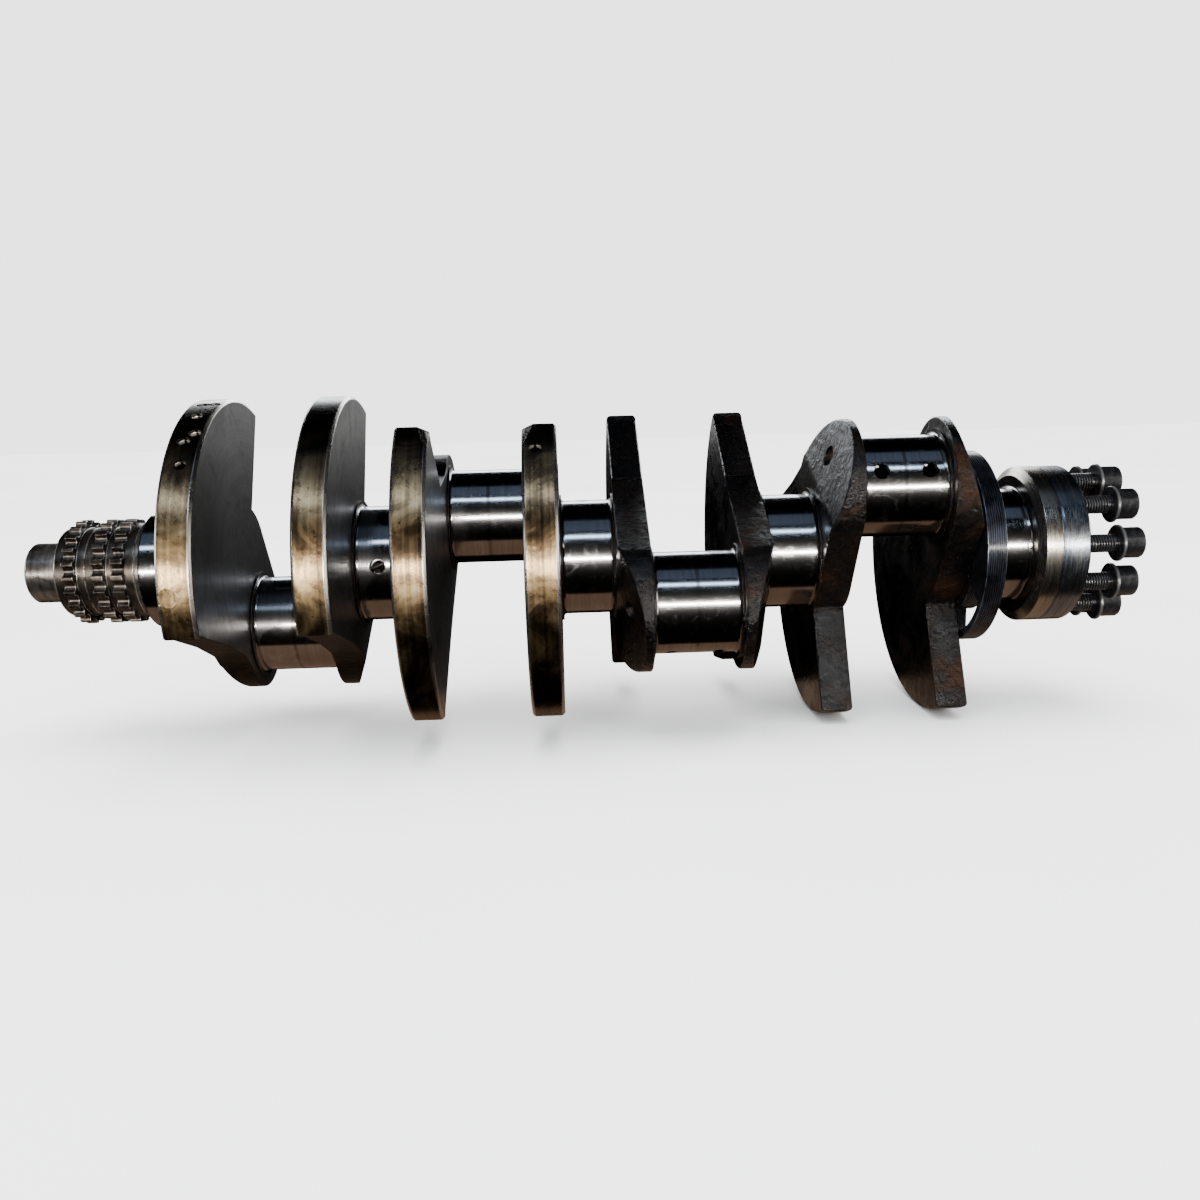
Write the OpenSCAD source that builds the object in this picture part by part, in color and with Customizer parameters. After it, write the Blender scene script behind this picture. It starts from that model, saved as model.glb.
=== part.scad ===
// Crankshaft for a V8 engine with a two-plane firing layout.
// X runs along the crankshaft, with the flywheel flange at +X. The origin is the centre of
// main journal 3. Angles around X start at +Y and grow toward +Z.

/* [Journals] */
// Distance between neighbouring crankpins
bore_spacing = 111.5; // [110:0.5:114]
// Distance from the main axis to a crankpin axis
throw = 42.5; // [41:0.25:43]
// Diameter of the main journals
main_d = 64; // [62:0.5:65]
// Diameter of the crankpins
pin_d = 54.8; // [52:0.2:56]
// Length of a crankpin, for two rods side by side
pin_len = 44.4; // [43:0.2:46]
// Length of main journals 2, 3 and 4
main_len = 27.5; // [26:0.5:29]
// Radius of the rolled fillet at each end of a journal
fillet_r = 1.6; // [1:0.2:2]

/* [Webs] */
// Radius of the counterweights
rim_r = 93; // [90:0.5:95]
// Width of the rim chamfer
rim_chamfer = 1.5; // [0.5:0.5:2]
// Depth of the machined step beside a journal
step_h = 1.1; // [0.8:0.1:1.4]
// Radius of the web around its crankpin
boss_r = 37; // [36:0.5:38]
// Radius of the web around the main axis
core_r = 34; // [33.5:0.5:35]
// Slope of the lightening bevel on the outside of a crankpin boss
bevel_angle = 18; // [14:1:19]

/* [Front end] */
// Diameter of the seat for the vibration damper
nose_d = 33.2; // [32:0.2:34]
// Diameter of the seat for the sprockets
seat_d = 38; // [37:0.5:40]
// Tip diameter of the sprocket teeth
sprocket_d = 58; // [57:0.5:59]
// Teeth on the oil pump sprocket
pump_teeth = 22; // [20:1:24]
// Teeth on each row of the timing sprocket
timing_teeth = 20; // [18:1:22]

/* [Rear end] */
// Diameter of the flywheel flange
flange_d = 88.2; // [86:0.2:92]
// Outside diameter of the trigger ring
ring_d = 108; // [104:1:112]
// Number of flywheel bolts
bolt_count = 10; // [10]
// Diameter of the circle of flywheel bolts
bolt_circle_d = 71.5; // [70:0.5:72]
// Thread diameter of a flywheel bolt
bolt_d = 10; // [10]
// Gap between the flange and a bolt collar
bolt_gap = 16.7; // [12:0.1:22]

/* [Hidden] */
$fn = 96;

main_r = main_d / 2;
pin_r = pin_d / 2;
fit = 0.03;             // radial gap between pieces of the crankshaft itself
bolt_fit = 0.06;        // radial gap around a bolt that screws out
over = 1;               // how far a cutting tool runs past the surface

// Crankpins 1 to 4 stand at 300, 30, 210 and 120 degrees.
pin_angles = [300, 30, 210, 120];
web_w = (bore_spacing - pin_len - main_len) / 2;
function pin_x(k) = (k - 2.5) * bore_spacing;
function main_x(k) = (k - 3) * bore_spacing;
function pin_of(web) = ceil(web / 2);
function on_low_side(web) = web % 2 == 1;
function web_inner_x(web) = pin_x(pin_of(web)) + (on_low_side(web) ? -1 : 1) * pin_len / 2;
function web_outer_x(web) = web_inner_x(web) + (on_low_side(web) ? -1 : 1) * web_w;
function polar(r, a) = [r * cos(a), r * sin(a)];

// Front end, from the tip of the nose to main journal 1
nose_x = -308.2;
hub_x = -288.5;
timing_x = -271.5;
washer_x = -249.8;
shoulder_x = -244.6;
journal_1_x = -240.5;
chamfer_w = 1;          // chamfer at the front of main journal 1
seat_r = seat_d / 2;
sprocket_r = sprocket_d / 2;
hub_r = 24.5;
seat_depth_r = 2.9;     // radius of the hollow between two teeth
shoulder_r = 28;
washer_r = 26.5;
pump_row = [-282, -276];
timing_rows = [[-266.6, -260.2], [-256.2, -249.8]];
damper_bore_r = 7;      // M16 thread, minor radius
damper_bore_len = 45;
key_w = 5;
key_h = 5;
key_bottom = 16.4;
key_x = [-287, -252];

// Rear end, from web 8 to the flywheel face
ring_x = web_outer_x(8);
ring_w = 10.6;
ring_seat_r = 34;
ring_r = ring_d / 2;
flange_x = 242.6;
flange_w = 27.2;
flange_face_x = flange_x + flange_w;
flange_r = flange_d / 2;
band_x = 254.5;         // shallow groove between the two ground bands of the flange
pilot_r = 17.5;
pilot_len = 20;

// Screws of the trigger ring
screw_circle_r = 44.5;
screw_angles = [95, 145, 285, 335];
window_angles = [40, 240];
window_span = 58;
window_r = [36.5, 49.5];
screw_r = 3;
screw_head_r = 4.6;
screw_head_h = 3;
screw_len = 9;

// Flywheel bolts
bolt_r = bolt_d / 2;
collar_r = 10;
collar_h = 2.4;
head_r = 8.4;
head_h = 10.6;
shank_len = 30;
bolt_hole_len = 24;
bolt_phase = 174.2;
function bolt_angle(k) = bolt_phase + (k - 1) * 360 / bolt_count;

// Counterweights: edge angles around the main axis, counted from the crankpin.
// Webs 1, 2, 7 and 8 carry the wide kind. Webs 3 to 6 carry the narrow kind.
function is_wide(web) = web < 3 || web > 6;
wide_edges = [126, 254];
narrow_edges = [95, 208];
bevel_start = 40;
corner_cut_start = 89.4;
corner_cut_angle = 61;

// Oil drillings
oil_r = 3;
oil_mouth_r = 4.4;
oil_depth = 22;
main_oil_angles = [0, 176, 90, 0, 270];
pin_oil_offset = 39;
pin_oil_gap = 12.8;
gallery_r = 5.5;
gallery_at = [58, -8];
gallery_depth = 10;
plug_recess = 2.5;
plug_h = 4;

// Balance drillings: position along X and angle around X
web_1_balance = [[-200.5, 104.5], [-194.8, 104], [-199, 115], [-195.6, 125.5], [-200, 129.5], [-199, 139]];
web_4_balance = [[-25.5, 136]];
balance_r = 3.2;
balance_depth = 14;
balance_plug_at = [-202.5, 181];
balance_plug_r = 5;
balance_plug_h = 8;

// Turns a shape drawn upward so that it runs toward +X, starting at x.
module along_x(x = 0) {
    translate([x, 0, 0]) rotate([90, 0, 90]) children();
}

// Places a cutting tool that is drawn along +Z so that it points outward at an angle around X.
module radial(x, angle, centre = [0, 0]) {
    translate([x, centre[0], centre[1]]) rotate([angle - 90, 0, 0]) children();
}

// A ground journal from x0 to x1. Each end has a rolled fillet, but an open front end has a chamfer.
module ground_journal(x0, x1, r, open_front = false) {
    arc = [for (a = [0:22.5:90]) [r + fillet_r * (1 - sin(a)), fillet_r * (1 - cos(a))]];
    chamfer = [[r - chamfer_w, 0], [r, chamfer_w]];
    upper = [for (i = [len(arc) - 1:-1:0]) [arc[i][0], x1 - x0 - arc[i][1]]];
    along_x(x0) rotate_extrude()
        polygon(concat([[0, 0]], open_front ? chamfer : arc, upper, [[0, x1 - x0]]));
}

// An oil hole with a countersunk mouth, drilled into a journal of radius r.
module oil_hole(x, angle, r, centre = [0, 0]) {
    radial(x, angle, centre) {
        translate([0, 0, r - oil_depth]) cylinder(h = oil_depth + over, r = oil_r);
        translate([0, 0, r - oil_mouth_r + oil_r]) cylinder(h = 3, r1 = oil_r, r2 = oil_r + 3);
    }
}

module sprocket_row(x0, x1, teeth) {
    along_x(x0) linear_extrude(x1 - x0) difference() {
        circle(sprocket_r);
        for (i = [0:teeth - 1])
            rotate((i + 0.5) * 360 / teeth) translate([sprocket_r, 0]) circle(seat_depth_r, $fn = 24);
    }
}

// The bore and the keyway shared by both sprockets.
module sprocket_bore(x0, x1) {
    along_x(x0 - over) cylinder(h = x1 - x0 + 2 * over, r = seat_r + fit);
    translate([x0 - over, -key_w / 2 - fit, 0])
        cube([x1 - x0 + 2 * over, key_w + 2 * fit, key_bottom + key_h + 0.3]);
}

module front_nose() {
    color("silver") difference() {
        along_x(nose_x) rotate_extrude() polygon([
            [0, 0],
            [nose_d / 2 - 1.5, 0],
            [nose_d / 2, 1.5],
            [nose_d / 2, hub_x - nose_x],
            [seat_r, hub_x - nose_x],
            [seat_r, shoulder_x - nose_x],
            [shoulder_r - 1, shoulder_x - nose_x],
            [shoulder_r, shoulder_x - nose_x + 1],
            [shoulder_r, journal_1_x - nose_x],
            [0, journal_1_x - nose_x]
        ]);
        along_x(nose_x - over) cylinder(h = damper_bore_len + over, r = damper_bore_r);
        along_x(nose_x - 0.01) cylinder(h = 2.5, r1 = damper_bore_r + 2.5, r2 = damper_bore_r);
        translate([key_x[0] - fit, -key_w / 2 - fit, key_bottom - fit])
            cube([key_x[1] - key_x[0] + 2 * fit, key_w + 2 * fit, key_h]);
    }
}

module sprocket_key() {
    color("dimgray") translate([key_x[0], -key_w / 2, key_bottom])
        cube([key_x[1] - key_x[0], key_w, key_h]);
}

module oil_pump_sprocket() {
    color("#35302c") difference() {
        union() {
            along_x(hub_x) cylinder(h = 1, r1 = hub_r - 1, r2 = hub_r);
            along_x(hub_x + 1) cylinder(h = timing_x - hub_x - 1, r = hub_r);
            sprocket_row(pump_row[0], pump_row[1], pump_teeth);
        }
        sprocket_bore(hub_x, timing_x);
    }
}

module timing_sprocket() {
    color("#35302c") difference() {
        union() {
            along_x(timing_x) cylinder(h = washer_x - timing_x, r = hub_r);
            for (row = timing_rows) sprocket_row(row[0], row[1], timing_teeth);
        }
        sprocket_bore(timing_x, washer_x);
    }
}

module thrust_washer() {
    color("#4a4038") difference() {
        along_x(washer_x) cylinder(h = shoulder_x - washer_x, r = washer_r);
        along_x(washer_x - over) cylinder(h = shoulder_x - washer_x + 2 * over, r = seat_r + fit);
    }
}

module main_journal(k, x0, x1, open_front = false) {
    color("lightgray") difference() {
        ground_journal(x0, x1, main_r, open_front);
        oil_hole(main_x(k) - 1.7, main_oil_angles[k - 1], main_r);
    }
}

module main_journal_1() main_journal(1, journal_1_x, web_outer_x(1), open_front = true);
module main_journal_2() main_journal(2, web_outer_x(2), web_outer_x(3));
module main_journal_3() main_journal(3, web_outer_x(4), web_outer_x(5));
module main_journal_4() main_journal(4, web_outer_x(6), web_outer_x(7));

// The fifth main journal also carries the seat of the trigger ring.
module main_journal_5() {
    color("lightgray") {
        along_x(ring_x) cylinder(h = ring_w, r = ring_seat_r);
        difference() {
            ground_journal(ring_x + ring_w, flange_x, main_r);
            oil_hole(main_x(5) + 8, main_oil_angles[4], main_r);
        }
    }
}

module crankpin(k) {
    angle = pin_angles[k - 1];
    centre = polar(throw, angle);
    x = pin_x(k);
    color("lightgray") difference() {
        translate([0, centre[0], centre[1]]) ground_journal(x - pin_len / 2, x + pin_len / 2, pin_r);
        for (side = [-1, 1])
            oil_hole(x + side * pin_oil_gap, angle + pin_oil_offset, pin_r, centre);
    }
}

module crankpin_1() crankpin(1);
module crankpin_2() crankpin(2);
module crankpin_3() crankpin(3);
module crankpin_4() crankpin(4);

// Outline of a web with its crankpin on the +X side of the sketch.
module web_outline(wide) {
    edges = wide ? wide_edges : narrow_edges;
    middle = (edges[0] + edges[1]) / 2;
    circle(core_r);
    translate([throw, 0]) circle(boss_r);
    polygon([[0, -core_r], [throw, -boss_r], [throw, boss_r], [0, core_r]]);
    intersection() {
        circle(rim_r);
        polygon([[0, 0], polar(2 * rim_r, edges[0]), polar(2 * rim_r, middle), polar(2 * rim_r, edges[1])]);
    }
    if (wide)
        polygon([
            [0, 0],
            polar(rim_r - 1, edges[1] - 1),
            polar(58, edges[1] + 24),
            polar(51, edges[1] + 53),
            [throw, -boss_r]
        ]);
    else
        polygon([
            [0, 0],
            [throw, -boss_r],
            [0, -core_r - 2],
            polar(44, edges[1] + 30),
            polar(rim_r - 1, edges[1] - 1)
        ]);
    if (!wide)
        polygon([[0, 0], polar(rim_r - 1, edges[0] + 1), polar(46, edges[0] - 15), polar(50, edges[0] - 50)]);
}

// A web that stands on its main journal at height 0 and carries its crankpin at height web_w.
module web_blank(wide) {
    intersection() {
        translate([0, 0, step_h]) linear_extrude(web_w - 2 * step_h) web_outline(wide);
        rotate_extrude() polygon([
            [0, 0],
            [rim_r - rim_chamfer, 0],
            [rim_r - rim_chamfer, step_h],
            [rim_r, step_h + rim_chamfer],
            [rim_r, web_w - step_h - rim_chamfer],
            [rim_r - rim_chamfer, web_w - step_h],
            [rim_r - rim_chamfer, web_w],
            [0, web_w]
        ]);
    }
    cylinder(h = 2 * step_h, r = core_r + 1.5);
    translate([throw, 0, web_w - 2 * step_h]) cylinder(h = 2 * step_h, r = pin_r + fillet_r + 2);
}

// Cuts the outside of the crankpin boss, so that the web thins toward its tip.
module boss_bevel() {
    translate([bevel_start, -60, step_h]) rotate([0, -bevel_angle, 0])
        translate([0, 0, -40]) cube([80, 120, 40]);
}

// Clears the rods at the end of a narrow counterweight.
module corner_cut() {
    translate([-60, corner_cut_start, web_w - step_h]) rotate([-corner_cut_angle, 0, 0])
        cube([120, 30, 30]);
}

// Height of the bevelled face over the web's journal side, at the middle of the gallery.
function gallery_mouth_h() = step_h + (gallery_at[0] - bevel_start) * tan(bevel_angle);

module gallery_bore() {
    clear = 5;
    translate([gallery_at[0], gallery_at[1], gallery_mouth_h() - clear])
        cylinder(h = gallery_depth + clear, r = gallery_r);
}

module web(k) {
    wide = is_wide(k);
    low = on_low_side(k);
    color("#4b4540") translate([web_outer_x(k), 0, 0]) mirror([low ? 0 : 1, 0, 0]) along_x()
        rotate(pin_angles[pin_of(k) - 1]) difference() {
            web_blank(wide);
            boss_bevel();
            if (!wide) corner_cut();
            if (low) gallery_bore();
        }
}

module balance_holes(places) {
    for (place = places)
        radial(place[0], place[1]) translate([0, 0, rim_r - balance_depth])
            cylinder(h = balance_depth + over, r = balance_r);
}

module web_1() {
    difference() {
        web(1);
        balance_holes(web_1_balance);
        radial(balance_plug_at[0], balance_plug_at[1]) translate([0, 0, rim_r - balance_plug_h - 0.6])
            cylinder(h = balance_plug_h + 0.6 + over, r = balance_plug_r + fit);
    }
}
module web_2() web(2);
module web_3() web(3);
module web_4() {
    difference() {
        web(4);
        balance_holes(web_4_balance);
    }
}
module web_5() web(5);
module web_6() web(6);
module web_7() web(7);
module web_8() {
    difference() {
        web(8);
        for (a = screw_angles)
            translate([0, screw_circle_r * cos(a), screw_circle_r * sin(a)])
                along_x(ring_x - screw_len - 0.5) cylinder(h = screw_len + 0.5 + over, r = screw_r + fit);
    }
}

module balance_plug() {
    color("dimgray") radial(balance_plug_at[0], balance_plug_at[1])
        translate([0, 0, rim_r - balance_plug_h - 0.5]) cylinder(h = balance_plug_h, r = balance_plug_r);
}

// One pressed plug closes the oil drilling in each of webs 1, 3, 5 and 7.
module oil_gallery_plugs() {
    color("peru") for (k = [1:2:7])
        along_x(web_outer_x(k)) rotate(pin_angles[pin_of(k) - 1])
            translate([gallery_at[0], gallery_at[1], gallery_mouth_h() + plug_recess])
                cylinder(h = plug_h, r = gallery_r - fit);
}

module trigger_ring() {
    color("#23272e") difference() {
        along_x(ring_x) cylinder(h = ring_w, r = ring_r);
        along_x(ring_x - over) cylinder(h = ring_w + 2 * over, r = ring_seat_r + fit);
        for (a = window_angles)
            along_x(ring_x - over) rotate(a) linear_extrude(ring_w + 2 * over) intersection() {
                difference() {
                    circle(window_r[1]);
                    circle(window_r[0]);
                }
                polygon([[0, 0], polar(80, -window_span / 2), polar(80, window_span / 2)]);
            }
        for (a = screw_angles)
            translate([0, screw_circle_r * cos(a), screw_circle_r * sin(a)]) {
                along_x(ring_x - over) cylinder(h = ring_w + 2 * over, r = screw_r + 0.3);
                along_x(ring_x + ring_w - screw_head_h) cylinder(h = screw_head_h + over, r = screw_head_r + 0.4);
            }
    }
}

module trigger_ring_screws() {
    color("dimgray") for (a = screw_angles)
        translate([0, screw_circle_r * cos(a), screw_circle_r * sin(a)]) {
            along_x(ring_x - screw_len) cylinder(h = screw_len + ring_w - screw_head_h, r = screw_r);
            along_x(ring_x + ring_w - screw_head_h) difference() {
                cylinder(h = screw_head_h, r = screw_head_r);
                translate([0, 0, screw_head_h - 1.8]) cylinder(h = 3, r = 2.5, $fn = 6);
            }
        }
}

module rear_flange() {
    color("gray") difference() {
        along_x(flange_x) rotate_extrude() polygon([
            [0, 0],
            [flange_r - 5, 0],
            [flange_r, 3],
            [flange_r, band_x - flange_x],
            [flange_r - 0.4, band_x - flange_x + 0.3],
            [flange_r - 0.4, band_x - flange_x + 1],
            [flange_r, band_x - flange_x + 1.3],
            [flange_r, flange_w - 1],
            [flange_r - 1, flange_w],
            [0, flange_w]
        ]);
        along_x(flange_face_x - pilot_len) cylinder(h = pilot_len + over, r = pilot_r);
        for (k = [1:bolt_count])
            translate([0, bolt_circle_d / 2 * cos(bolt_angle(k)), bolt_circle_d / 2 * sin(bolt_angle(k))])
                along_x(flange_face_x - bolt_hole_len) cylinder(h = bolt_hole_len + over, r = bolt_r + bolt_fit);
    }
}

// A flywheel bolt, screwed out of its hole until its collar stands off the flange.
module flywheel_bolt(k) {
    a = bolt_angle(k);
    color("#26282b") translate([0, bolt_circle_d / 2 * cos(a), bolt_circle_d / 2 * sin(a)])
        along_x(flange_face_x + bolt_gap) {
            translate([0, 0, 1 - shank_len]) cylinder(h = shank_len - 1, r = bolt_r);
            translate([0, 0, -shank_len]) cylinder(h = 1, r1 = bolt_r - 1, r2 = bolt_r);
            cylinder(h = collar_h, r = collar_r);
            difference() {
                translate([0, 0, collar_h]) cylinder(h = head_h, r = head_r);
                translate([0, 0, collar_h + head_h - 6]) cylinder(h = 7, r = 4.6, $fn = 6);
            }
        }
}

module flywheel_bolt_1() flywheel_bolt(1);
module flywheel_bolt_2() flywheel_bolt(2);
module flywheel_bolt_3() flywheel_bolt(3);
module flywheel_bolt_4() flywheel_bolt(4);
module flywheel_bolt_5() flywheel_bolt(5);
module flywheel_bolt_6() flywheel_bolt(6);
module flywheel_bolt_7() flywheel_bolt(7);
module flywheel_bolt_8() flywheel_bolt(8);
module flywheel_bolt_9() flywheel_bolt(9);
module flywheel_bolt_10() flywheel_bolt(10);

front_nose();
main_journal_1();
main_journal_2();
main_journal_3();
main_journal_4();
main_journal_5();
crankpin_1();
crankpin_2();
crankpin_3();
crankpin_4();
web_1();
web_2();
web_3();
web_4();
web_5();
web_6();
web_7();
web_8();
rear_flange();
oil_pump_sprocket();
timing_sprocket();
thrust_washer();
sprocket_key();
trigger_ring();
trigger_ring_screws();
oil_gallery_plugs();
balance_plug();
flywheel_bolt_1();
flywheel_bolt_2();
flywheel_bolt_3();
flywheel_bolt_4();
flywheel_bolt_5();
flywheel_bolt_6();
flywheel_bolt_7();
flywheel_bolt_8();
flywheel_bolt_9();
flywheel_bolt_10();
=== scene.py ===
"""Looks of a used V8 crankshaft: polished journals, oil-stained rims and raw black forgings."""

import math

import bmesh
import bpy
from mathutils import Matrix, Vector


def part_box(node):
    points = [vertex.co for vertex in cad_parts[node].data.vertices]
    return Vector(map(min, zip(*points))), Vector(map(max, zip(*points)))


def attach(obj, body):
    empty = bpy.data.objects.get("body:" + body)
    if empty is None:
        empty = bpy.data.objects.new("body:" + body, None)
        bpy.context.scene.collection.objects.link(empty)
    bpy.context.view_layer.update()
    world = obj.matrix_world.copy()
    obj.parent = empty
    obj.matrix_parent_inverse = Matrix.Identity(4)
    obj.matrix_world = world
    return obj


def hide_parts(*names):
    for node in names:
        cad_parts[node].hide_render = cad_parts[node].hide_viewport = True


MM = 0.001
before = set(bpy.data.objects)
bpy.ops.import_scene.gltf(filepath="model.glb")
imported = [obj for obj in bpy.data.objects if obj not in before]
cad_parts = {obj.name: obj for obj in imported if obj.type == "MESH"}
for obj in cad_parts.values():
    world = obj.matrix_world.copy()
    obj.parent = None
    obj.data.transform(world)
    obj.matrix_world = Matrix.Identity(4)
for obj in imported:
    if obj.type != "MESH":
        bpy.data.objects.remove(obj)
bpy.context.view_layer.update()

# ---------------------------------------------------------------- places, worked out from the frame
CRANK = "crankshaft"
MAINS = [f"main_journal_{i}" for i in range(1, 6)]
PINS = [f"crankpin_{i}" for i in range(1, 5)]
WEBS = [f"web_{i}" for i in range(1, 9)]
BOLTS = [f"flywheel_bolt_{i}" for i in range(1, 11)]
STAINED_WEBS = WEBS[:4]
BLACK_WEBS = WEBS[4:]


def centre(node):
    low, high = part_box(node)
    return (low + high) / 2


def length_x(node):
    low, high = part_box(node)
    return high.x - low.x


FILLET = 1.6 * MM  # between a ground journal and the webs beside it
FLOOR_GAP = 0.2 * MM
MAIN_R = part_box(MAINS[2])[1].z - centre(MAINS[2]).z - FILLET
PIN_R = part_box(PINS[0])[1].z - centre(PINS[0]).z - FILLET
RIM_R = max(abs(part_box(web)[i].y) for web in WEBS for i in (0, 1))
FLANGE_LOW, FLANGE_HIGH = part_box("rear_flange")
FLOOR_Z = min(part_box(web)[0].z for web in WEBS) - FLOOR_GAP

# How a CAD mesh is rounded
WELD = 0.005 * MM
FLAT_ANGLE = math.radians(0.6)
SHARP_ANGLE = math.radians(28)
LONG_LINE = 30 * MM  # a line narrower than this is the mouth of a small hole
RIM_SIDE = 1.6 * MM  # the rim's chamfer, and a little more
MAIN_RING = 7 * MM  # edges this close to a main journal belong to the raised ring around it
PIN_RING = 6 * MM  # the same around a crankpin
HOLE_EDGE = 3 * MM  # a shorter edge on the rim, away from its sides, belongs to a hole
STAINED_OUTLINE = (0.5 * MM, 3)  # width and steps of the rounding along a web's outline
BLACK_OUTLINE = (1.1 * MM, 4)

# Flywheel bolts
BOLT_SHANK = 30 * MM
BOLT_R = 5 * MM
COLLAR_H = 2.4 * MM
HEAD_R = 8.4 * MM
THREAD_PITCH = 1.5 * MM
BOLT_TURN = 47  # degrees by which each bolt stands turned from the one before


# ---------------------------------------------------------------- node materials
class Look:
    """Builds one procedural material, node by node."""

    def __init__(self, name, **settings):
        self.mat = bpy.data.materials.new(name)
        self.mat.use_nodes = True
        self.tree = self.mat.node_tree
        self.shader = self.tree.nodes["Principled BSDF"]
        self.position = self.add("ShaderNodeTexCoord").outputs["Object"]
        self.normal_out = self.add("ShaderNodeNewGeometry").outputs["Normal"]
        self.set(**settings)

    def add(self, kind, **values):
        node = self.tree.nodes.new(kind)
        for key, value in values.items():
            setattr(node, key, value)
        return node

    def plug(self, socket, value):
        """Links an output to a socket, or sets a plain value on it."""
        if isinstance(value, bpy.types.NodeSocket):
            self.tree.links.new(value, socket)
        elif isinstance(value, tuple) and len(value) == 3 and socket.type == "RGBA":
            socket.default_value = (*value, 1)
        else:
            socket.default_value = value

    def set(self, **settings):
        for key, value in settings.items():
            self.plug(self.shader.inputs[key.replace("_", " ")], value)
        return self

    def math(self, operation, a, b=0.0, clamp=False):
        node = self.add("ShaderNodeMath", operation=operation, use_clamp=clamp)
        self.plug(node.inputs[0], a)
        self.plug(node.inputs[1], b)
        return node.outputs[0]

    def parts(self, vector):
        node = self.add("ShaderNodeSeparateXYZ")
        self.plug(node.inputs[0], vector)
        return node.outputs

    def vector(self, x, y, z):
        node = self.add("ShaderNodeCombineXYZ")
        for socket, value in zip(node.inputs, (x, y, z)):
            self.plug(socket, value)
        return node.outputs[0]

    def noise(self, scale, detail, roughness=0.55, distortion=0.0, vector=None):
        node = self.add("ShaderNodeTexNoise")
        self.plug(node.inputs["Vector"], vector or self.position)
        node.inputs["Scale"].default_value = scale
        node.inputs["Detail"].default_value = detail
        node.inputs["Roughness"].default_value = roughness
        node.inputs["Distortion"].default_value = distortion
        return node.outputs["Fac"]

    def span(self, value, low, high, to_low=0.0, to_high=1.0):
        """Maps low..high to to_low..to_high with soft ends."""
        node = self.add("ShaderNodeMapRange", interpolation_type="SMOOTHSTEP")
        for socket, number in zip(node.inputs[:5], (value, low, high, to_low, to_high)):
            self.plug(socket, number)
        return node.outputs[0]

    def ramp(self, value, *stops):
        node = self.add("ShaderNodeValToRGB")
        elements = node.color_ramp.elements
        while len(elements) < len(stops):
            elements.new(0.5)
        for element, (place, colour) in zip(elements, stops):
            element.position = place
            element.color = (*colour, 1)
        self.plug(node.inputs[0], value)
        return node.outputs[0]

    def mix(self, amount, a, b):
        node = self.add("ShaderNodeMix", data_type="RGBA")
        self.plug(node.inputs[0], amount)
        self.plug(node.inputs[6], a)
        self.plug(node.inputs[7], b)
        return node.outputs[2]

    def blend(self, amount, a, b):
        """Blends two numbers."""
        node = self.add("ShaderNodeMix", data_type="FLOAT")
        self.plug(node.inputs[0], amount)
        self.plug(node.inputs[2], a)
        self.plug(node.inputs[3], b)
        return node.outputs[0]

    def bump(self, height, strength, distance, below=None):
        node = self.add("ShaderNodeBump")
        node.inputs["Strength"].default_value = strength
        node.inputs["Distance"].default_value = distance
        self.plug(node.inputs["Height"], height)
        if below is not None:
            self.plug(node.inputs["Normal"], below)
        return node.outputs[0]

    def turned(self, y=0.0, z=0.0):
        """Measures from an axis along X through y and z.

        Sets x, radius, side (how much a face looks along X), up (1 on top, -1 below) and turn, a
        vector that hardly changes around the axis, so that noise along it makes lathe marks.
        """
        around = 0.8 * MM
        px, py, pz = self.parts(self.position)
        dy, dz = self.math("SUBTRACT", py, y), self.math("SUBTRACT", pz, z)
        square = self.math("ADD", self.math("MULTIPLY", dy, dy), self.math("MULTIPLY", dz, dz))
        self.x = px
        self.radius = self.math("SQRT", square)
        self.side = self.math("ABSOLUTE", self.parts(self.normal_out)[0])
        self.up = self.math("DIVIDE", dz, self.radius)
        across = self.math("ADD", px, self.radius)
        self.turn = self.vector(
            across,
            self.math("MULTIPLY", self.math("DIVIDE", dy, self.radius), around),
            self.math("MULTIPLY", self.math("DIVIDE", dz, self.radius), around),
        )
        return self

    def edges(self, wear):
        """Bright where a bevel turns between a face that looks along X and one that doesn't."""
        off_rim, off_face = self.span(self.side, 0.12, 0.35), self.span(self.side, 0.97, 0.85)
        bevel = self.math("MULTIPLY", off_rim, off_face)
        rub = self.span(self.noise(170, 5, 0.6), 0.62 - wear * 0.4, 0.75 - wear * 0.4)
        return self.math("MULTIPLY", bevel, rub)


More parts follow.
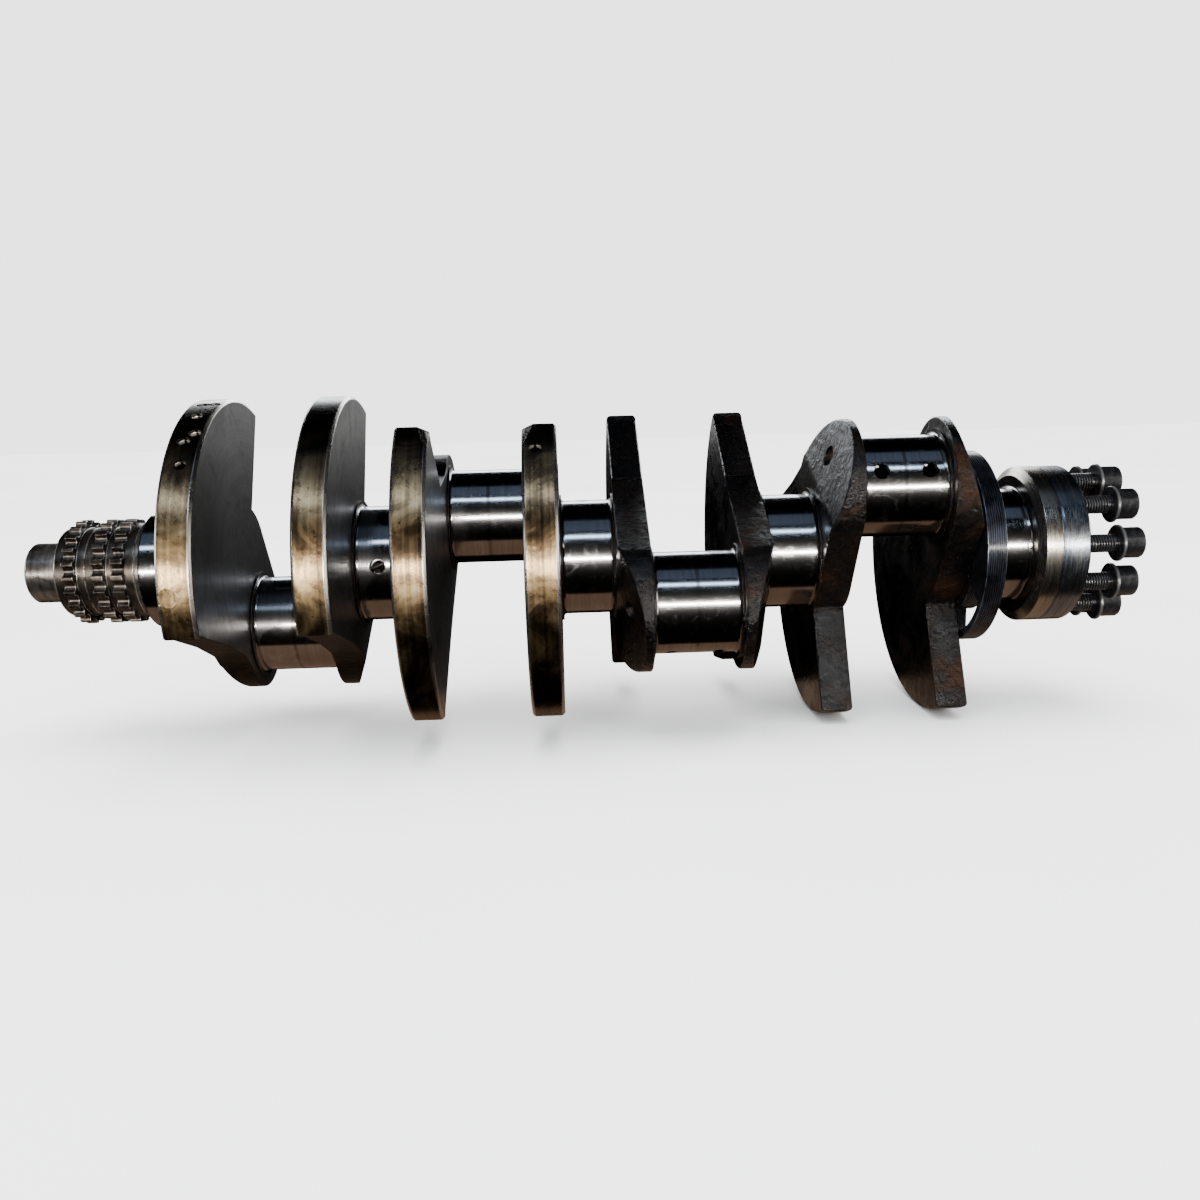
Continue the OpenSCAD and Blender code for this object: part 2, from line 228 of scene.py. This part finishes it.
def journal_look(name, node):
    """Mirror-ground steel with fine lathe marks and a wear band; painted dark-blue reflection on
    top, painted warm-brown reflection below, painted shade inside the oil holes.
    """
    mid, ring = centre(node), length_x(node) / 2
    look = Look(name, Metallic=1.0).turned(mid.y, mid.z)
    marks = look.noise(5200, 3, 0.7, vector=look.turn)
    wide_marks = look.noise(900, 2, 0.5, vector=look.turn)
    from_mid = look.math("ABSOLUTE", look.math("SUBTRACT", look.x, mid.x))
    smear_and_reflection_patches = look.noise(46, 4, 0.6, 0.8)
    steel = look.ramp(wide_marks, (0.3, (0.36, 0.36, 0.365)), (0.7, (0.46, 0.46, 0.46)))
    # Painted reflection: the top turns dark blue, as if it mirrored a dim sky.
    steel = look.mix(look.span(look.up, 0.2, 0.9, 0.0, 0.4), steel, (0.12, 0.145, 0.19))
    # Painted reflection: warm brown patches on the underside, as if it mirrored a brown floor.
    painted_low_reflection = look.math("MULTIPLY", look.span(look.up, -0.1, -0.7), look.span(smear_and_reflection_patches, 0.2, 0.5))
    steel = look.mix(look.math("MULTIPLY", painted_low_reflection, 0.5), steel, (0.20, 0.12, 0.08))
    if node in PINS:
        near_mid = look.span(from_mid, 1.5 * MM, 0.5 * MM)
        rod_line = look.math("MULTIPLY", near_mid, look.span(smear_and_reflection_patches, 0.25, 0.55))
        steel = look.mix(look.math("MULTIPLY", rod_line, 0.6), steel, (0.10, 0.08, 0.06))
    shoulder = look.span(from_mid, ring - 1.9 * MM, ring - 1.2 * MM)
    steel = look.mix(look.math("MULTIPLY", shoulder, 0.5), steel, (0.14, 0.11, 0.085))
    own_r = PIN_R if node in PINS else MAIN_R
    # Painted shade: near black inside the oil holes.
    inside = look.span(look.radius, own_r - 0.4 * MM, own_r - 1.4 * MM)
    steel = look.mix(inside, steel, (0.012, 0.010, 0.009))
    fingerprints = look.span(look.noise(120, 6, 0.7, 1.5), 0.5, 0.75)
    rough = look.blend(fingerprints, look.blend(marks, 0.11, 0.17), 0.24)
    look.set(Base_Color=steel, Roughness=rough, Normal=look.bump(marks, 0.05, 0.015 * MM))
    return look.mat


def stained_web_look():
    """A machined web: golden-brown rim with painted shade on top and below, bright chamfer of worn
    steel and partly a painted highlight, grey turned cheeks, dark forged flanks.
    """
    look = Look("stained_web", Metallic=1.0, Coat_Weight=0.15, Coat_Roughness=0.25).turned()
    marks = look.noise(3000, 3, 0.7, vector=look.turn)
    wide_marks = look.noise(420, 3, 0.6, vector=look.turn)
    blotch = look.noise(38, 7, 0.65, 1.2)
    speck = look.noise(420, 4, 0.7)
    rim = look.ramp(
        look.blend(0.35, blotch, wide_marks),
        (0.34, (0.030, 0.021, 0.013)),
        (0.45, (0.12, 0.078, 0.040)),
        (0.56, (0.29, 0.20, 0.10)),
        (0.70, (0.48, 0.38, 0.23)),
    )
    rim = look.mix(look.span(speck, 0.6, 0.7), rim, (0.016, 0.011, 0.008))
    # Painted shade: the rim turns near black on top and dark brown underneath.
    rim = look.mix(look.span(look.up, 0.45, 0.85, 0.0, 0.8), rim, (0.012, 0.012, 0.013))
    rim = look.mix(look.span(look.up, -0.35, -0.9, 0.0, 0.6), rim, (0.06, 0.036, 0.02))
    cheek = look.ramp(wide_marks, (0.3, (0.10, 0.10, 0.105)), (0.7, (0.16, 0.158, 0.16)))
    cheek_oil = look.math("MULTIPLY", look.span(blotch, 0.5, 0.7), 0.5)
    cheek = look.mix(cheek_oil, cheek, (0.035, 0.025, 0.018))
    forged = look.ramp(
        blotch,
        (0.38, (0.004, 0.0032, 0.0028)),
        (0.55, (0.010, 0.007, 0.005)),
        (0.72, (0.05, 0.022, 0.009)),
    )
    on_rim = look.span(look.radius, RIM_R - 2.2 * MM, RIM_R - 1.4 * MM)
    on_cheek = look.span(look.side, 0.9, 0.985)
    colour = look.mix(on_cheek, look.mix(on_rim, forged, rim), cheek)
    # The chamfer is worn bare steel, brightened further as a painted highlight.
    at_rim = look.span(look.radius, RIM_R - 4 * MM, RIM_R - 3 * MM)
    chamfer = look.math("MULTIPLY", look.edges(1.0), at_rim)
    colour = look.mix(look.math("MULTIPLY", chamfer, 0.85), colour, (0.55, 0.52, 0.47))
    smooth = look.blend(on_cheek, look.blend(on_rim, 0.62, 0.27), 0.42)
    spread = look.math("MULTIPLY", look.math("SUBTRACT", blotch, 0.5), 0.35)
    rough = look.math("ADD", smooth, spread)
    off_cheek, off_rim = look.math("SUBTRACT", 1.0, on_cheek), look.math("SUBTRACT", 1.0, on_rim)
    flank = look.math("MULTIPLY", off_cheek, off_rim)
    lumps = look.math("MULTIPLY", look.noise(260, 5, 0.6, 0.3), look.blend(flank, 0.06, 1.0))
    grain = look.bump(lumps, 0.7, 1.2 * MM)
    look.set(Base_Color=colour, Roughness=rough, Normal=look.bump(marks, 0.16, 0.04 * MM, grain))
    return look.mat


def forged_look():
    """Raw black forging under a wet film of oil, with lumps, pits and a few brown runs."""
    look = Look("black_forging", Metallic=0.9, Coat_Roughness=0.08).turned()
    lumps = look.noise(230, 5, 0.6, 0.3)
    pits = look.noise(1100, 4, 0.7)
    film = look.noise(34, 5, 0.6, 0.5)
    colour = look.ramp(
        film,
        (0.42, (0.0035, 0.0035, 0.0042)),
        (0.56, (0.009, 0.007, 0.006)),
        (0.66, (0.030, 0.013, 0.007)),
        (0.80, (0.05, 0.024, 0.012)),
    )
    cheek = look.span(look.side, 0.93, 0.99)
    height = look.math("ADD", lumps, look.math("MULTIPLY", pits, 0.25))
    height = look.math("MULTIPLY", height, look.blend(cheek, 1.0, 0.25))
    look.set(
        Base_Color=colour,
        Roughness=look.blend(look.span(film, 0.35, 0.65), 0.22, 0.45),
        Normal=look.bump(height, 1.0, 1.9 * MM),
        Coat_Weight=look.span(film, 0.7, 0.35, 0.08, 0.5),
        Coat_Normal=look.bump(height, 0.8, 1.4 * MM),
    )
    return look.mat


def turned_look(name, dark, light, rough):
    """Turned steel in a range of tones, with worn edges and grime in patches."""
    look = Look(name, Metallic=0.95, Coat_Weight=0.12, Coat_Roughness=0.3).turned()
    marks = look.noise(2600, 3, 0.7, vector=look.turn)
    wide_marks = look.noise(500, 3, 0.55, vector=look.turn)
    blotch = look.noise(70, 6, 0.65, 1.0)
    colour = look.ramp(look.blend(0.5, blotch, wide_marks), (0.36, dark), (0.66, light))
    dirt = look.math("MULTIPLY", look.span(look.noise(130, 5, 0.7), 0.5, 0.68), 0.4)
    colour = look.mix(dirt, colour, (0.02, 0.015, 0.011))
    colour = look.mix(look.math("MULTIPLY", look.edges(0.6), 0.85), colour, (0.55, 0.52, 0.48))
    spread = look.math("MULTIPLY", look.math("SUBTRACT", blotch, 0.5), 0.4)
    look.set(
        Base_Color=colour,
        Roughness=look.math("ADD", spread, rough, clamp=True),
        Normal=look.bump(marks, 0.18, 0.05 * MM),
    )
    return look.mat


def flange_look():
    """Two ground bands, the front one warm grey and the rear one blued, between dark faces."""
    look = Look("ground_flange", Metallic=1.0).turned()
    marks = look.noise(3800, 3, 0.75, vector=look.turn)
    wide_marks = look.noise(520, 3, 0.6, vector=look.turn)
    blotch = look.noise(60, 6, 0.65, 1.4)
    front_band = 0.44  # share of the flange's width
    band_x = FLANGE_LOW.x + front_band * (FLANGE_HIGH.x - FLANGE_LOW.x)
    warm = look.ramp(wide_marks, (0.32, (0.30, 0.27, 0.23)), (0.7, (0.52, 0.49, 0.44)))
    stain = look.blend(0.6, blotch, wide_marks)
    cool = look.ramp(stain, (0.4, (0.13, 0.16, 0.21)), (0.6, (0.36, 0.375, 0.40)))
    colour = look.mix(look.span(look.x, band_x - 0.4 * MM, band_x + 0.4 * MM), warm, cool)
    oil = look.math("MULTIPLY", look.span(blotch, 0.52, 0.75), 0.35)
    colour = look.mix(oil, colour, (0.10, 0.075, 0.052))
    face = look.span(look.side, 0.8, 0.97)
    colour = look.mix(look.math("MULTIPLY", face, 0.85), colour, (0.05, 0.045, 0.042))
    blotch_rough = look.math("MULTIPLY", blotch, 0.14)
    mark_rough = look.math("MULTIPLY", marks, 0.36)
    rough = look.math("ADD", blotch_rough, mark_rough)
    look.set(Base_Color=colour, Roughness=rough, Normal=look.bump(marks, 0.2, 0.04 * MM))
    return look.mat


def ring_look():
    """Blued steel ring whose rim is cut with fine grooves, with painted shade in them."""
    look = Look("blued_ring", Metallic=0.9, Coat_Weight=0.3, Coat_Roughness=0.15).turned()
    groove_pitch = 1.2 * MM
    wave = look.math("SINE", look.math("MULTIPLY", look.x, math.tau / groove_pitch))
    on_rim = look.span(look.side, 0.3, 0.1)
    height = look.math("MULTIPLY", wave, on_rim)
    blotch = look.noise(80, 5, 0.6, 1.0)
    colour = look.ramp(blotch, (0.35, (0.012, 0.014, 0.02)), (0.68, (0.06, 0.07, 0.095)))
    # Painted shade: near-black lines in the grooves.
    groove = look.math("MULTIPLY", look.span(wave, 0.1, -0.7), on_rim)
    colour = look.mix(look.math("MULTIPLY", groove, 0.85), colour, (0.002, 0.002, 0.003))
    colour = look.mix(look.math("MULTIPLY", look.edges(0.6), 0.5), colour, (0.32, 0.36, 0.42))
    rough = look.blend(blotch, 0.2, 0.42)
    look.set(Base_Color=colour, Roughness=rough, Normal=look.bump(height, 1.0, 0.3 * MM))
    return look.mat


def bolt_look():
    """Black oxide with worn crests and a little oil."""
    look = Look("black_oxide", Metallic=0.85, Coat_Weight=0.35, Coat_Roughness=0.2)
    grain = look.noise(1300, 4, 0.6)
    blotch = look.noise(240, 5, 0.6, 0.6)
    colour = look.ramp(blotch, (0.35, (0.010, 0.0105, 0.012)), (0.7, (0.05, 0.05, 0.054)))
    ridge = look.span(look.add("ShaderNodeNewGeometry").outputs["Pointiness"], 0.52, 0.6)
    colour = look.mix(look.math("MULTIPLY", ridge, 0.55), colour, (0.34, 0.33, 0.32))
    rough = look.blend(blotch, 0.26, 0.48)
    look.set(Base_Color=colour, Roughness=rough, Normal=look.bump(grain, 0.2, 0.05 * MM))
    return look.mat


def plug_look():
    """Plated plug, tinted like copper by hot oil."""
    look = Look("copper_plug", Metallic=1.0)
    blotch = look.noise(420, 5, 0.6, 1.0)
    colour = look.ramp(
        blotch,
        (0.35, (0.10, 0.045, 0.02)),
        (0.6, (0.50, 0.27, 0.14)),
        (0.75, (0.72, 0.50, 0.33)),
    )
    rough = look.blend(blotch, 0.45, 0.22)
    look.set(Base_Color=colour, Roughness=rough, Normal=look.bump(blotch, 0.3, 0.15 * MM))
    return look.mat


def floor_look():
    """A pale, matt studio floor."""
    look = Look("pale_floor", Roughness=0.75)
    tone = look.noise(3.0, 3)
    grain = look.noise(180, 4)
    look.set(
        Base_Color=look.ramp(tone, (0.3, (0.79, 0.79, 0.785)), (0.7, (0.83, 0.83, 0.825))),
        Normal=look.bump(grain, 0.05, 0.4 * MM),
    )
    return look.mat


# ---------------------------------------------------------------- detailed pieces
def new_piece(name, mesh, material, body):
    """Puts a mesh in the scene in one material, riding on a body."""
    piece = bpy.data.objects.new(name, mesh)
    bpy.context.scene.collection.objects.link(piece)
    mesh.materials.clear()
    mesh.materials.append(material)
    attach(piece, body)
    return piece


def paint(node, material):
    """Gives a CAD node that keeps its own mesh a better material."""
    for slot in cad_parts[node].material_slots:
        slot.material = material


def long_lines(edges):
    """Those edges that belong to a connected line wider than LONG_LINE, in their own order."""
    left, kept = set(edges), set()
    while left:
        group, reached = [], [left.pop()]
        while reached:
            edge = reached.pop()
            group.append(edge)
            near = {other for vert in edge.verts for other in vert.link_edges} & left
            left -= near
            reached.extend(near)
        points = [vert.co for edge in group for vert in edge.verts]
        widths = [max(p[i] for p in points) - min(p[i] for p in points) for i in range(3)]
        if max(widths) > LONG_LINE:
            kept.update(group)
    return [edge for edge in edges if edge in kept]


def soften(mesh, width, segments=2, wanted=None):
    """Rounds the sharp edges of a mesh.

    With a test, it rounds only the long lines of edges that pass, and always at the full width.
    """
    work = bmesh.new()
    work.from_mesh(mesh)
    bmesh.ops.remove_doubles(work, verts=work.verts, dist=WELD)
    bmesh.ops.dissolve_limit(work, angle_limit=FLAT_ANGLE, verts=work.verts, edges=work.edges)
    sharp = [
        edge
        for edge in work.edges
        if len(edge.link_faces) == 2
        and edge.calc_face_angle(0) > SHARP_ANGLE
        and (wanted is None or wanted(edge))
    ]
    if wanted:
        sharp = long_lines(sharp)
    bmesh.ops.bevel(
        work,
        geom=sharp,
        offset=width,
        offset_type="OFFSET",
        segments=segments,
        profile=0.5,
        affect="EDGES",
        clamp_overlap=wanted is None,
    )
    for face in work.faces:
        face.smooth = True
    work.to_mesh(mesh)
    work.free()


def keep_inside(mesh, node):
    """Holds a rounded mesh inside its CAD node's box and the turned rim of the webs."""
    low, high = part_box(node)
    for vert in mesh.vertices:
        shrink = min(1.0, RIM_R / max(math.hypot(vert.co.y, vert.co.z), MM))
        inside = (vert.co.x, vert.co.y * shrink, vert.co.z * shrink)
        vert.co = [min(max(value, a), b) for value, a, b in zip(inside, low, high)]


def softened_copy(node, material, width, first_pass=None):
    """Shows a copy of a crankshaft node with rounded edges in its place."""
    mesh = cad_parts[node].data.copy()
    if first_pass:
        soften(mesh, *first_pass)
    soften(mesh, width)
    keep_inside(mesh, node)
    piece = new_piece(f"{node}_detail", mesh, material, CRANK)
    weigh = piece.modifiers.new("even_shading", "WEIGHTED_NORMAL")
    weigh.keep_sharp = False
    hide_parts(node)


def outer_edge_of(web):
    """A test for the edges of a web's outline, away from its rings and the holes in its rim."""
    pin = centre(PINS[WEBS.index(web) // 2])
    low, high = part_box(web)

    def test(edge):
        mid = (edge.verts[0].co + edge.verts[1].co) / 2
        from_main = math.hypot(mid.y, mid.z)
        from_pin = math.hypot(mid.y - pin.y, mid.z - pin.z)
        off_sides = low.x + RIM_SIDE < mid.x < high.x - RIM_SIDE
        on_rim = from_main > RIM_R - 0.5 * MM and off_sides
        in_hole = on_rim and edge.calc_length() < HOLE_EDGE
        off_rings = from_main > MAIN_R + MAIN_RING and from_pin > PIN_R + PIN_RING
        return off_rings and not in_hole

    return test


def threaded_bolt_mesh(node):
    """A bolt along +X with a real helical thread, a washer collar and a six-lobe socket.

    Its origin is the underside of the collar, on the bolt's axis. It is built from rows of points
    around the axis, first the thread from its tip, then the collar and head, then the socket.
    """
    low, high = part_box(node)
    collar_r = (high.y - low.y) / 2
    head_end = high.x - low.x - BOLT_SHANK
    socket_r, socket_depth, socket_taper, lobes, lobe_depth = 4.6 * MM, 6 * MM, 0.93, 6, 0.10
    thread_depth, tip_len, tip_cut = 0.8 * MM, 1.2 * MM, 0.16
    plain = 1.5 * MM  # bare shank below the collar
    steepness = 2.6  # of the thread's flanks
    around, rows_per_turn = 48, 8
    turns = [math.tau * j / around for j in range(around)]
    rings = int((BOLT_SHANK - plain) / THREAD_PITCH * rows_per_turn)
    work = bmesh.new()
    rows = []
    for i in range(rings + 1):
        x = -BOLT_SHANK + (BOLT_SHANK - plain) * i / rings
        tip = min(1.0, (x + BOLT_SHANK) / tip_len)
        row = []
        for j, angle in enumerate(turns):
            phase = (x / THREAD_PITCH - j / around) % 1.0
            crest = min(1.0, abs(phase - 0.5) * steepness)
            fade = min(1.0, (-plain - x) / THREAD_PITCH)
            r = (BOLT_R - thread_depth * (1 - crest) * fade) * (1 - tip_cut + tip_cut * tip)
            row.append(work.verts.new((x, r * math.cos(angle), r * math.sin(angle))))
        rows.append(row)
    profile = [
        (-plain * 0.5, BOLT_R * 0.97),
        (0, BOLT_R),
        (0, collar_r - 0.5 * MM),
        (0.5 * MM, collar_r),
        (COLLAR_H - 0.9 * MM, collar_r),
        (COLLAR_H - 0.2 * MM, collar_r - 0.9 * MM),
        (COLLAR_H, HEAD_R + 0.2 * MM),
        (COLLAR_H + 0.4 * MM, HEAD_R),
        (head_end - 0.8 * MM, HEAD_R),
        (head_end - 0.2 * MM, HEAD_R - 0.3 * MM),
        (head_end, HEAD_R - 0.9 * MM),
    ]
    for x, r in profile:
        rows.append([work.verts.new((x, r * math.cos(a), r * math.sin(a))) for a in turns])
    socket = (
        (head_end, 1.0),
        (head_end - 0.5 * MM, socket_taper),
        (head_end - socket_depth, socket_taper),
    )
    for x, shrink in socket:
        row = []
        for angle in turns:
            lobe = socket_r * shrink * (1 - lobe_depth + lobe_depth * math.cos(lobes * angle))
            row.append(work.verts.new((x, lobe * math.cos(angle), lobe * math.sin(angle))))
        rows.append(row)
    for first, second in zip(rows, rows[1:]):
        for j in range(around):
            k = (j + 1) % around  # the next point around
            work.faces.new((first[j], first[k], second[k], second[j]))
    work.faces.new(rows[0][::-1])
    work.faces.new(rows[-1])
    bmesh.ops.recalc_face_normals(work, faces=work.faces)
    for face in work.faces:
        face.smooth = len(face.verts) == 4
    mesh = bpy.data.meshes.new("threaded_bolt")
    work.to_mesh(mesh)
    work.free()
    shade_by_angle(mesh)
    return mesh


def threaded_bolt(node, mesh):
    """Shows the threaded bolt in place of a plain CAD bolt."""
    low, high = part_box(node)
    piece = bpy.data.objects.new(f"{node}_detail", mesh)
    bpy.context.scene.collection.objects.link(piece)
    piece.location = (low.x + BOLT_SHANK, (low.y + high.y) / 2, (low.z + high.z) / 2)
    piece.rotation_euler = (math.radians(BOLT_TURN * BOLTS.index(node)), 0, 0)
    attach(piece, f"{node}_body")
    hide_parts(node)


def shade_by_angle(mesh):
    """Marks the sharp edges of a mesh, so that only its curved faces shade smoothly."""
    smooth_below = math.radians(35)
    work = bmesh.new()
    work.from_mesh(mesh)
    for edge in work.edges:
        edge.smooth = len(edge.link_faces) == 2 and edge.calc_face_angle(0) < smooth_below
    work.to_mesh(mesh)
    work.free()


# ---------------------------------------------------------------- build
stained = stained_web_look()
black = forged_look()
for web in STAINED_WEBS:
    outline = (*STAINED_OUTLINE, outer_edge_of(web))
    softened_copy(web, stained, 0.3 * MM, first_pass=outline)
for web in BLACK_WEBS:
    outline = (*BLACK_OUTLINE, outer_edge_of(web))
    softened_copy(web, black, 0.4 * MM, first_pass=outline)
for journal in MAINS + PINS:
    paint(journal, journal_look(f"polished_{journal}", journal))

nose_steel = turned_look("nose_steel", (0.05, 0.045, 0.04), (0.26, 0.24, 0.22), 0.3)
sprocket_steel = turned_look("sprocket_steel", (0.02, 0.016, 0.013), (0.10, 0.082, 0.068), 0.32)
screw_steel = turned_look("screw_steel", (0.02, 0.02, 0.022), (0.07, 0.07, 0.075), 0.35)
softened_copy("front_nose", nose_steel, 0.4 * MM)
softened_copy("sprocket_key", nose_steel, 0.3 * MM)
for part in ("oil_pump_sprocket", "timing_sprocket", "thrust_washer"):
    softened_copy(part, sprocket_steel, 0.45 * MM)
softened_copy("balance_plug", stained, 0.4 * MM)
softened_copy("trigger_ring_screws", screw_steel, 0.3 * MM)
softened_copy("trigger_ring", ring_look(), 0.5 * MM)
softened_copy("rear_flange", flange_look(), 0.5 * MM)
softened_copy("oil_gallery_plugs", plug_look(), 0.6 * MM)
bolt_mesh = threaded_bolt_mesh(BOLTS[0])
bolt_mesh.materials.append(bolt_look())
for bolt in BOLTS:
    threaded_bolt(bolt, bolt_mesh)

# ---------------------------------------------------------------- floor, light and camera
floor_mesh = bpy.data.meshes.new("floor")
reach = 6.0
corners = [(x * reach, y * reach, FLOOR_Z) for x, y in ((-1, -1), (1, -1), (1, 1), (-1, 1))]
floor_mesh.from_pydata(corners, [], [(0, 1, 2, 3)])
floor = bpy.data.objects.new("floor", floor_mesh)
bpy.context.scene.collection.objects.link(floor)
floor_mesh.materials.append(floor_look())


def area_light(name, place, target, size, power, colour):
    """A rectangular light that the camera doesn't see."""
    data = bpy.data.lights.new(name, "AREA")
    data.shape = "RECTANGLE"
    data.size, data.size_y = size
    data.energy = power
    data.color = colour
    light = bpy.data.objects.new(name, data)
    light.location = place
    light.visible_camera = False
    light.rotation_mode = "QUATERNION"
    light.rotation_quaternion = (Vector(target) - Vector(place)).to_track_quat("-Z", "Y")
    bpy.context.scene.collection.objects.link(light)
    return light


MIDDLE = (0, 0, 0)
LAMP = (1.0, 0.95, 0.88)
DAYLIGHT = (0.62, 0.78, 1.0)
BLUE_SKY = (0.55, 0.70, 1.0)
CLOUDY_SKY = (0.9, 0.95, 1.0)
WARM_CARD = (1.0, 0.98, 0.95)
WARMER_CARD = (1.0, 0.97, 0.93)
WARM_SIDE = (1.0, 0.98, 0.96)
BROWN_GROUND = (1.0, 0.68, 0.48)
SIDE_SIZE = (0.8, 0.4)
front_strip = area_light("strip_by_camera", (0.0, -0.85, 0.06), MIDDLE, (1.6, 0.035), 20, LAMP)
area_light("window", (-0.1, -0.75, 0.85), MIDDLE, (1.4, 0.10), 4.5, DAYLIGHT)
area_light("sky_card", (0.0, -0.35, 1.1), MIDDLE, (1.6, 0.5), 0.55, BLUE_SKY)
area_light("back_card", (0.3, 1.5, 0.5), MIDDLE, (1.6, 1.0), 3.5, WARM_CARD)
area_light("right_card", (1.3, -0.45, 0.1), (0.1, 0, 0), (0.15, 0.8), 2.5, WARMER_CARD)
area_light("ground_card", (0, 0, FLOOR_Z + 2 * MM), MIDDLE, (0.8, 0.10), 0.07, BROWN_GROUND)
back_window = area_light("back_window", (0, 0.95, 0.46), MIDDLE, (1.4, 0.28), 9, CLOUDY_SKY)
right_side = area_light("right_side", (1.6, 0.12, 0.12), (0.2, 0.12, 0), SIDE_SIZE, 5, WARM_SIDE)
left_side = area_light("left_side", (-1.6, 0.12, 0.12), (-0.2, 0.12, 0), SIDE_SIZE, 5, WARM_SIDE)
# These four draw highlights in the metal, but leave no streaks on the floor.
for light in (front_strip, back_window, right_side, left_side):
    light.visible_diffuse = False

# Lights the floor evenly. Metal doesn't mirror it, as in a dark room.
sun_data = bpy.data.lights.new("floor_sun", "SUN")
sun_data.energy = 5.5
sun_data.angle = math.radians(50)
sun = bpy.data.objects.new("floor_sun", sun_data)
sun.location = (0, 0, 2)
sun.visible_glossy = False
bpy.context.scene.collection.objects.link(sun)
floor.visible_glossy = False

world = bpy.data.worlds.new("studio")
world.use_nodes = True
bpy.context.scene.world = world
background = world.node_tree.nodes["Background"]
background.inputs["Color"].default_value = (1.0, 1.0, 1.0, 1)
background.inputs["Strength"].default_value = 3.0
world.cycles_visibility.glossy = False

# The camera stands where the fit to the photo puts it: in front of the crankshaft, a little above
# it. Turning the crankshaft and the camera together about the main axis gives the same picture, so
# how high it stands is a choice.
DISTANCE = 0.5935
RISE = 0.0816
ASIDE = 0.0067
YAW = math.radians(1.72)
LOOK_DOWN = math.radians(10.21)
ROLL = math.radians(1.51)
SENSOR_WIDTH = 36  # lens and sensor in millimetres
LENS = 31.53
turn_back = Matrix.Rotation(-YAW, 3, "Z")
forward = Vector((0, math.cos(LOOK_DOWN), -math.sin(LOOK_DOWN)))
above = Vector((0, math.sin(LOOK_DOWN), math.cos(LOOK_DOWN)))
right = Vector((1, 0, 0)) * math.cos(ROLL) - above * math.sin(ROLL)
upward = Vector((1, 0, 0)) * math.sin(ROLL) + above * math.cos(ROLL)
camera_data = bpy.data.cameras.new("camera")
camera_data.sensor_width = SENSOR_WIDTH
camera_data.lens = LENS
camera_data.clip_start = 0.01
camera = bpy.data.objects.new("camera", camera_data)
facing = Matrix((turn_back @ right, turn_back @ upward, -(turn_back @ forward))).transposed()
place = turn_back @ Vector((ASIDE, -DISTANCE, RISE))
camera.matrix_world = Matrix.Translation(place) @ facing.to_4x4()
bpy.context.scene.collection.objects.link(camera)
bpy.context.scene.camera = camera
